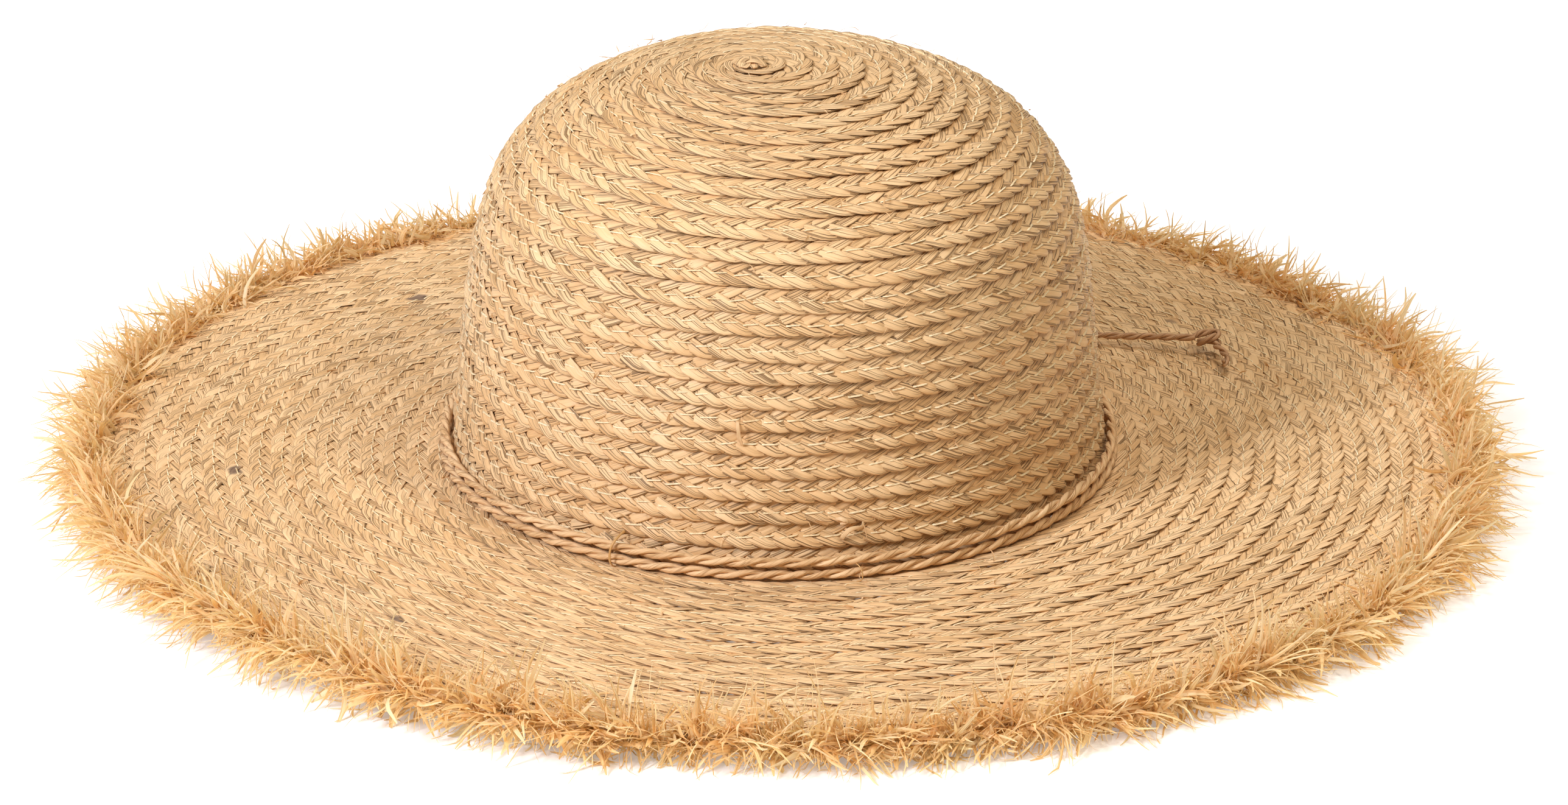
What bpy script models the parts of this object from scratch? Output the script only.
"""Straw sun hat: raffia braid crown and brim, raffia fringe round the edge,
cord band of two wraps with one knotted tail, inner sweatband with a blank label.

Units are metres. The origin is on the crown's axis at table level, +Z is up,
the front of the hat faces -Y.
"""
import bisect
import math

import bmesh
import bpy
from mathutils import Vector

MM = 0.001

# ---------------------------------------------------------------- shared sizes
SEGMENTS = 24                    # facets round every turned piece
GAP = 0.3 * MM                   # running gap between neighbouring pieces
BRAID_THICKNESS = 2.2 * MM       # sewn, overlapped braid

# ---------------------------------------------------------------- crown
CROWN_RADIUS = 93.5 * MM         # outside of the crown at its foot
CROWN_TAPER = 0.095              # radius lost per unit of height
CROWN_HEIGHT = 117.7 * MM        # foot plane to the middle of the top
CROWN_SQUARENESS = 6.4           # how late the side turns into the top
CROWN_ROUNDNESS = 2.14           # how full the top is
CROWN_FOOT_Z = 7.0 * MM          # foot plane above the table
CROWN_CUT = 1.9 * MM             # sewn edge of the crown above its foot plane
CROWN_STEPS = 13                 # profile points on the crown
CROWN_TABLE_STEPS = 1600         # steps in the table that measures arc length

# ---------------------------------------------------------------- brim and fringe
BRIM_INNER_R = 90.9 * MM
BRIM_FLAT_R = 106.0 * MM         # the brim is level out to here
BRIM_OUTER_R = 194.0 * MM
BRIM_TOP_IN_Z = 8.6 * MM
BRIM_TOP_OUT_Z = 7.4 * MM
BRIM_UNDER_OUT_Z = BRIM_TOP_OUT_Z - BRAID_THICKNESS

FRINGE_INNER_R = 188.0 * MM      # both layers overlap the brim from here
FRINGE_SHOULDER_R = 192.0 * MM   # both layers reach nearly full depth here
FRINGE_CLEAR_R = BRIM_OUTER_R + 2.0 * GAP
FRINGE_OUTER_R = 212.0 * MM
FRINGE_SPLIT_Z = 5.3 * MM        # between the two layers, outside the braid

UPPER_LIP = 0.8 * MM             # extra height of the upper layer's inner edge
UPPER_SHOULDER_DROP = 1.0 * MM   # shoulder below the crest
UPPER_CREST_R = 201.0 * MM
UPPER_CREST_Z = 12.6 * MM
UPPER_EDGE_INSET = 1.0 * MM      # top of the outer edge, in from the full radius
UPPER_EDGE_Z = 9.6 * MM

LOWER_SPLIT_INSET = 0.5 * MM     # split face, in from the edges beside it
LOWER_EDGE_Z = 2.6 * MM          # widest point of the lower layer
LOWER_FOOT_INSET = 3.0 * MM      # resting face, in from the full radius
LOWER_INNER_Z = 2.4 * MM         # bottom of the inner edge

# ---------------------------------------------------------------- stitching
THREAD_R = 0.25 * MM
THREAD_SIDES = 3                 # keeps the long seam threads light
THREAD_LIFT = GAP + THREAD_R     # thread's centre above the braid

CROWN_ROW_PITCH = 7.12 * MM      # distance from one crown row to the next
CROWN_SEAM_START = 10.0 * MM     # along the profile from the sewn edge
CROWN_SEAM_STOP = 6.0 * MM       # along the profile, short of the middle of the top
BRIM_ROW_PITCH = 6.95 * MM
BRIM_SEAM_START_R = 105.0 * MM
BRIM_SEAM_END_R = 186.5 * MM

# ---------------------------------------------------------------- sweatband and label
SWEATBAND_THICKNESS = 1.0 * MM
SWEATBAND_BOTTOM_Z = 9.6 * MM
SWEATBAND_HEIGHT = 25.0 * MM
SWEATBAND_SEAM_Z = SWEATBAND_BOTTOM_Z + 3.0 * MM
# depths behind the crown's outside, measured level
SWEATBAND_OUTER_DEPTH = BRAID_THICKNESS + 2.0 * GAP
SWEATBAND_INNER_DEPTH = SWEATBAND_OUTER_DEPTH + SWEATBAND_THICKNESS
SWEATBAND_THREAD_SIDES = 4

LABEL_WIDTH = 26.0 * MM
LABEL_HEIGHT = 14.0 * MM
LABEL_THICKNESS = 0.6 * MM
LABEL_HINGE_Y = 84.8 * MM
LABEL_HINGE_Z = 31.0 * MM

# ---------------------------------------------------------------- cord band and tail
WRAP_SEGMENTS = 48               # the band turns, so its rings are rounder
WRAP_SIDES = 8
CORD_R = 1.5 * MM
BAND_CENTRE_R = 95.3 * MM
BAND_LOWER_Z = 10.4 * MM
BAND_UPPER_Z = 13.7 * MM

KNOT_SEGMENTS = 12
KNOT_RINGS = 8
TIE_R = 99.5 * MM                # tie knot's distance from the crown's axis
TIE_AZIMUTH = math.radians(57.0)
TIE_Z = 12.4 * MM
TIE_KNOT_R = 2.3 * MM

TAIL_HEADING = math.radians(-12.1)
HITCH_OFFSET = 5.1 * MM          # tail hitch beyond the tie knot, along the tail
HITCH_R = 2.3 * MM
TAIL_CORD_R = 1.3 * MM
TAIL_LENGTH = 64.0 * MM
TAIL_STEPS = 8
TAIL_SIDE_BOW = 0.9 * MM
TAIL_UPWARD_BOW = 0.5 * MM

END_KNOT_SIZE = (4.2 * MM, 3.6 * MM, 3.0 * MM)
END_KNOT_X = TAIL_LENGTH + GAP + END_KNOT_SIZE[0]
END_KNOT_Z = 0.3 * MM

FREE_END_LENGTH = 12.0 * MM
FREE_END_STEPS = 6
FREE_END_START = 5.9 * MM        # distance from the end knot's middle
FREE_END_HEADING = -42.0         # degrees, where it leaves the knot
FREE_END_TURN = -34.0            # degrees turned by its tip
FREE_END_DROP = 0.7 * MM

# ---------------------------------------------------------------- cord keepers
KEEPER_R = 0.4 * MM
KEEPER_AZIMUTHS = {"left": math.radians(242.0), "right": math.radians(283.0)}
# (radius, height) in millimetres, from above the upper wrap down its outside
KEEPER_PATH = [(94.55, 16.9), (95.9, 16.6), (97.2, 15.2),
               (97.5, 13.4), (97.5, 11.4), (97.9, 9.9)]

# ---------------------------------------------------------------- materials
# name: (base colour, roughness)
FINISHES = {
    "crown_raffia": ((0.74, 0.47, 0.24), 0.62),
    "brim_raffia": ((0.78, 0.52, 0.27), 0.62),
    "upper_fringe_raffia": ((0.76, 0.44, 0.17), 0.58),
    "lower_fringe_raffia": ((0.66, 0.36, 0.13), 0.60),
    "crown_thread": ((0.86, 0.70, 0.42), 0.45),
    "brim_thread": ((0.86, 0.70, 0.42), 0.45),
    "grosgrain": ((0.72, 0.60, 0.44), 0.80),
    "sweatband_thread": ((0.84, 0.74, 0.55), 0.50),
    "label_cloth": ((0.88, 0.85, 0.78), 0.75),
    "upper_wrap_cord": ((0.62, 0.36, 0.17), 0.66),
    "lower_wrap_cord": ((0.62, 0.36, 0.17), 0.66),
    "tie_cord": ((0.60, 0.34, 0.16), 0.66),
    "hitch_cord": ((0.60, 0.34, 0.16), 0.66),
    "tail_cord_raffia": ((0.58, 0.33, 0.17), 0.66),
    "end_knot_cord": ((0.56, 0.31, 0.15), 0.66),
    "free_end_cord": ((0.56, 0.31, 0.15), 0.66),
    "keeper_left_raffia": ((0.80, 0.55, 0.30), 0.60),
    "keeper_right_raffia": ((0.80, 0.55, 0.30), 0.60),
}

# ---------------------------------------------------------------- scene setup
for old in list(bpy.data.objects):
    bpy.data.objects.remove(old, do_unlink=True)

hat = bpy.data.collections.new("straw_sun_hat")
bpy.context.scene.collection.children.link(hat)
guides = bpy.data.collections.new("straw_sun_hat_guides")
bpy.context.scene.collection.children.link(guides)


# ---------------------------------------------------------------- builders
def material(name):
    """A new material with its finish from the table."""
    colour, roughness = FINISHES[name]
    mat = bpy.data.materials.new(name)
    mat.use_nodes = True
    bsdf = mat.node_tree.nodes["Principled BSDF"]
    bsdf.inputs["Base Color"].default_value = (*colour, 1.0)
    bsdf.inputs["Roughness"].default_value = roughness
    bsdf.inputs["Metallic"].default_value = 0.0
    mat.diffuse_color = (*colour, 1.0)
    return mat


def place(obj, finish, parent=None, location=(0.0, 0.0, 0.0)):
    """Put an object in the hat's collection only, with its own material."""
    for holder in list(obj.users_collection):
        holder.objects.unlink(obj)
    hat.objects.link(obj)
    obj.data.materials.append(material(finish))
    obj.parent = parent
    obj.location = location
    return obj


def add(name, data, finish, parent=None, location=(0.0, 0.0, 0.0)):
    """Place a new object that holds the given mesh or curve."""
    return place(bpy.data.objects.new(name, data), finish, parent, location)


def pivot(name, location, parent=None, turn=0.0):
    """An empty on a joint's axis; moving pieces are parented to it."""
    empty = bpy.data.objects.new(name, None)
    empty.empty_display_size = 0.01
    hat.objects.link(empty)
    empty.parent = parent
    empty.location = location
    empty.rotation_euler = (0.0, 0.0, turn)
    return empty


def around(radius, azimuth, z):
    """Point at a radius and azimuth about the crown's axis."""
    return radius * math.cos(azimuth), radius * math.sin(azimuth), z


def turned(name, profile, finish, closed=True):
    """Turn a profile of (radius, height) points about Z.

    The points run clockwise, with radius to the right and height up. An open
    profile begins and ends on the axis; a closed one is a ring's section.
    """
    mesh = bpy.data.meshes.new(name)
    bm = bmesh.new()
    verts = [bm.verts.new((r, 0.0, z)) for r, z in profile]
    for start, end in zip(verts, verts[1:]):
        bm.edges.new((start, end))
    if closed:
        bm.edges.new((verts[-1], verts[0]))
    bm.to_mesh(mesh)
    bm.free()
    screw = add(name, mesh, finish).modifiers.new("turn", "SCREW")
    screw.axis = "Z"
    screw.angle = 2.0 * math.pi
    screw.steps = SEGMENTS
    screw.render_steps = SEGMENTS
    screw.use_merge_vertices = True
    screw.merge_threshold = 0.05 * MM
    screw.use_smooth_shade = True


def poly_curve(name, points, dimensions="3D"):
    """Curve data with one straight-sided spline through the points."""
    curve = bpy.data.curves.new(name, "CURVE")
    curve.dimensions = dimensions
    spline = curve.splines.new("POLY")
    spline.points.add(len(points) - 1)
    for point, position in zip(spline.points, points):
        point.co = (*position, 1.0)
    return curve


def cord(name, points, radius, finish, parent=None):
    """A round cord through the points, with closed ends."""
    curve = poly_curve(name, points)
    curve.resolution_u = 1
    curve.use_fill_caps = True
    curve.bevel_depth = radius
    curve.bevel_resolution = 2
    add(name, curve, finish, parent)


def ring(name, radius, thickness_radius, segments, sides, finish, z, parent=None):
    """A level torus on the crown's axis."""
    bpy.ops.mesh.primitive_torus_add(major_radius=radius, minor_radius=thickness_radius,
                                     major_segments=segments, minor_segments=sides)
    obj = bpy.context.object
    obj.name = name
    return place(obj, finish, parent, (0.0, 0.0, z))


def knot(name, size, finish, parent, location):
    """A pulled-tight knot as a small ellipsoid."""
    mesh = bpy.data.meshes.new(name)
    bm = bmesh.new()
    bmesh.ops.create_uvsphere(bm, u_segments=KNOT_SEGMENTS, v_segments=KNOT_RINGS, radius=1.0)
    bmesh.ops.scale(bm, vec=Vector(size), verts=bm.verts)
    bm.to_mesh(mesh)
    bm.free()
    mesh.shade_smooth()
    add(name, mesh, finish, parent, location)


# ---------------------------------------------------------------- crown form
def crown_radius(z):
    """Outside radius of the crown at height z above its foot plane."""
    cap = max(0.0, 1.0 - (z / CROWN_HEIGHT) ** CROWN_SQUARENESS)
    return (CROWN_RADIUS - CROWN_TAPER * z) * cap ** (1.0 / CROWN_ROUNDNESS)


def crown_table():
    """Fine table of (arc length, radius, height) from the sewn edge to the top."""
    rows, length, last = [], 0.0, None
    for i in range(CROWN_TABLE_STEPS + 1):
        # closer steps near the top, where the profile turns level
        rise = math.sin(0.5 * math.pi * i / CROWN_TABLE_STEPS)
        z = CROWN_CUT + (CROWN_HEIGHT - CROWN_CUT) * rise
        point = (crown_radius(z) if i < CROWN_TABLE_STEPS else 0.0, z)
        if last is not None:
            length += math.dist(point, last)
        rows.append((length, *point))
        last = point
    return rows


CROWN_TABLE = crown_table()
CROWN_ARC = CROWN_TABLE[-1][0]


def crown_point(arc, offset=0.0):
    """(radius, height above the table) at an arc length, moved outward by the offset."""
    arc = min(max(arc, 0.0), CROWN_ARC)
    above = bisect.bisect_right(CROWN_TABLE, arc, key=lambda row: row[0])
    above = min(above, len(CROWN_TABLE) - 1)
    arc_a, r_a, z_a = CROWN_TABLE[above - 1]
    arc_b, r_b, z_b = CROWN_TABLE[above]
    part = (arc - arc_a) / (arc_b - arc_a)
    r = r_a + (r_b - r_a) * part
    z = z_a + (z_b - z_a) * part
    span = math.dist((r_a, z_a), (r_b, z_b))
    normal_r, normal_z = (z_b - z_a) / span, (r_a - r_b) / span
    return r + normal_r * offset, z + CROWN_FOOT_Z + normal_z * offset


def lining_point(z, depth):
    """(radius, height) inside the crown at height z above the table."""
    arc = next(row[0] for row in CROWN_TABLE if row[2] + CROWN_FOOT_Z >= z)
    return crown_point(arc)[0] - depth, z


def brim_top(radius):
    """Height of the brim's upper face at a radius."""
    part = min(max((radius - BRIM_FLAT_R) / (BRIM_OUTER_R - BRIM_FLAT_R), 0.0), 1.0)
    return BRIM_TOP_IN_Z + (BRIM_TOP_OUT_Z - BRIM_TOP_IN_Z) * part


# ---------------------------------------------------------------- straw pieces
def build_crown():
    arcs = [CROWN_ARC * i / CROWN_STEPS for i in range(CROWN_STEPS)]
    outer = [crown_point(arc) for arc in arcs]
    inner = [crown_point(arc, -BRAID_THICKNESS) for arc in arcs]
    top_z = CROWN_FOOT_Z + CROWN_HEIGHT
    turned("crown_braid",
           [(0.0, top_z)] + outer[::-1] + inner + [(0.0, top_z - BRAID_THICKNESS)],
           "crown_raffia", closed=False)


def build_brim():
    middle_r = 0.5 * (BRIM_FLAT_R + BRIM_OUTER_R)
    top = [(r, brim_top(r)) for r in (BRIM_INNER_R, BRIM_FLAT_R, middle_r, BRIM_OUTER_R)]
    under = [(r, z - BRAID_THICKNESS) for r, z in reversed(top)]
    turned("brim_braid", top + under, "brim_raffia")


def build_fringe():
    """Two layers of raffia that hold the brim's edge between them."""
    inner_top_z = brim_top(FRINGE_INNER_R)
    turned("fringe_upper",
           [(FRINGE_INNER_R, inner_top_z + GAP + UPPER_LIP),
            (FRINGE_SHOULDER_R, UPPER_CREST_Z - UPPER_SHOULDER_DROP),
            (UPPER_CREST_R, UPPER_CREST_Z),
            (FRINGE_OUTER_R - UPPER_EDGE_INSET, UPPER_EDGE_Z),
            (FRINGE_OUTER_R, FRINGE_SPLIT_Z + GAP),
            (FRINGE_CLEAR_R, FRINGE_SPLIT_Z + GAP),
            (FRINGE_CLEAR_R, BRIM_TOP_OUT_Z + 2.0 * GAP),
            (FRINGE_INNER_R, inner_top_z + 2.0 * GAP)],
           "upper_fringe_raffia")
    turned("fringe_lower",
           [(FRINGE_INNER_R, BRIM_UNDER_OUT_Z - GAP),
            (FRINGE_CLEAR_R, BRIM_UNDER_OUT_Z - GAP),
            (FRINGE_CLEAR_R + LOWER_SPLIT_INSET, FRINGE_SPLIT_Z),
            (FRINGE_OUTER_R - LOWER_SPLIT_INSET, FRINGE_SPLIT_Z),
            (FRINGE_OUTER_R, LOWER_EDGE_Z),
            (FRINGE_OUTER_R - LOWER_FOOT_INSET, 0.0),
            (FRINGE_SHOULDER_R, 0.0),
            (FRINGE_INNER_R, LOWER_INNER_Z)],
           "lower_fringe_raffia")


# ---------------------------------------------------------------- seam threads
def build_thread_section():
    """The hidden section that the spiral threads are swept from."""
    angles = [-2.0 * math.pi * k / THREAD_SIDES for k in range(THREAD_SIDES)]
    curve = poly_curve("thread_section", [around(THREAD_R, angle, 0.0) for angle in angles],
                       dimensions="2D")
    curve.splines[0].use_cyclic_u = True
    section = bpy.data.objects.new("thread_section", curve)
    guides.objects.link(section)
    section.hide_render = True
    section.display_type = "WIRE"
    return section


def spiral_thread(name, start, end, pitch, profile, section, finish):
    """A thread that advances one pitch along the profile in each turn."""
    points = []
    for i in range(int((end - start) / pitch * SEGMENTS) + 1):
        r, z = profile(start + pitch * i / SEGMENTS)
        points.append(around(r, 2.0 * math.pi * i / SEGMENTS, z))
    curve = poly_curve(name, points)
    curve.resolution_u = 1
    curve.use_fill_caps = True
    curve.bevel_mode = "OBJECT"
    curve.bevel_object = section
    add(name, curve, finish)


def build_stitching():
    section = build_thread_section()
    spiral_thread("crown_stitching", CROWN_SEAM_START, CROWN_ARC - CROWN_SEAM_STOP,
                  CROWN_ROW_PITCH, lambda arc: crown_point(arc, THREAD_LIFT),
                  section, "crown_thread")
    spiral_thread("brim_stitching", BRIM_SEAM_START_R, BRIM_SEAM_END_R,
                  BRIM_ROW_PITCH, lambda r: (r, brim_top(r) + THREAD_LIFT),
                  section, "brim_thread")


# ---------------------------------------------------------------- sweatband and label
def build_sweatband():
    levels = [SWEATBAND_BOTTOM_Z + SWEATBAND_HEIGHT * part for part in (1.0, 0.5, 0.0)]
    turned("sweatband",
           [lining_point(z, SWEATBAND_OUTER_DEPTH) for z in levels]
           + [lining_point(z, SWEATBAND_INNER_DEPTH) for z in reversed(levels)],
           "grosgrain")
    seam_r = lining_point(SWEATBAND_SEAM_Z, SWEATBAND_INNER_DEPTH)[0] - THREAD_LIFT
    ring("sweatband_stitching", seam_r, THREAD_R, SEGMENTS, SWEATBAND_THREAD_SIDES,
         "sweatband_thread", SWEATBAND_SEAM_Z)


def build_label():
    """A blank label inside the back of the crown, hanging from its top edge."""
    hinge = pivot("pivot_label", (0.0, LABEL_HINGE_Y, LABEL_HINGE_Z))
    mesh = bpy.data.meshes.new("blank_label")
    bm = bmesh.new()
    bmesh.ops.create_cube(bm, size=1.0)
    bmesh.ops.scale(bm, vec=Vector((LABEL_WIDTH, LABEL_THICKNESS, LABEL_HEIGHT)),
                    verts=bm.verts)
    bm.to_mesh(mesh)
    bm.free()
    add("blank_label", mesh, "label_cloth", hinge, (0.0, 0.0, -0.5 * LABEL_HEIGHT))


# ---------------------------------------------------------------- cord band and tail
def build_band():
    """Two wraps of cord and the tie knot, which turn together round the crown."""
    band = pivot("pivot_band", (0.0, 0.0, BAND_LOWER_Z))
    for level, z in (("lower", BAND_LOWER_Z), ("upper", BAND_UPPER_Z)):
        wrap = ring(f"band_wrap_{level}", BAND_CENTRE_R, CORD_R, WRAP_SEGMENTS, WRAP_SIDES,
                    f"{level}_wrap_cord", z - BAND_LOWER_Z, band)
        wrap.data.shade_smooth()
    tie = around(TIE_R, TIE_AZIMUTH, TIE_Z - BAND_LOWER_Z)
    knot("tie_knot", (TIE_KNOT_R,) * 3, "tie_cord", band, tie)
    build_tail(band, tie)


def build_tail(band, tie):
    """The tail swings about a vertical axis in the tie knot and lifts about the hitch."""
    swing = pivot("pivot_tail_swing", tie, band, TAIL_HEADING)
    hitch = (HITCH_OFFSET, 0.0, 0.0)
    knot("tail_hitch", (HITCH_R,) * 3, "hitch_cord", swing, hitch)
    lift = pivot("pivot_tail_lift", hitch, swing)

    start_x = HITCH_R + GAP
    points = []
    for i in range(TAIL_STEPS + 1):
        part = i / TAIL_STEPS
        bow = math.sin(math.pi * part)
        points.append((start_x + (TAIL_LENGTH - start_x) * part,
                       TAIL_SIDE_BOW * bow, TAIL_UPWARD_BOW * bow))
    cord("tail_cord", points, TAIL_CORD_R, "tail_cord_raffia", lift)

    knot("end_knot", END_KNOT_SIZE, "end_knot_cord", lift, (END_KNOT_X, 0.0, END_KNOT_Z))

    points = []
    for i in range(FREE_END_STEPS + 1):
        part = i / FREE_END_STEPS
        heading = math.radians(FREE_END_HEADING + FREE_END_TURN * part)
        reach = FREE_END_START + FREE_END_LENGTH * part
        x, y, z = around(reach, heading, -FREE_END_DROP * part)
        points.append((END_KNOT_X + x, y, z))
    cord("tail_free_end", points, TAIL_CORD_R, "free_end_cord", lift)


def build_keepers():
    """Raffia loops over both wraps, which can slide through them."""
    for side, azimuth in KEEPER_AZIMUTHS.items():
        points = [around(r * MM, azimuth, z * MM) for r, z in KEEPER_PATH]
        cord(f"cord_keeper_{side}", points, KEEPER_R, f"keeper_{side}_raffia")


build_crown()
build_brim()
build_fringe()
build_stitching()
build_sweatband()
build_band()
build_keepers()
build_label()
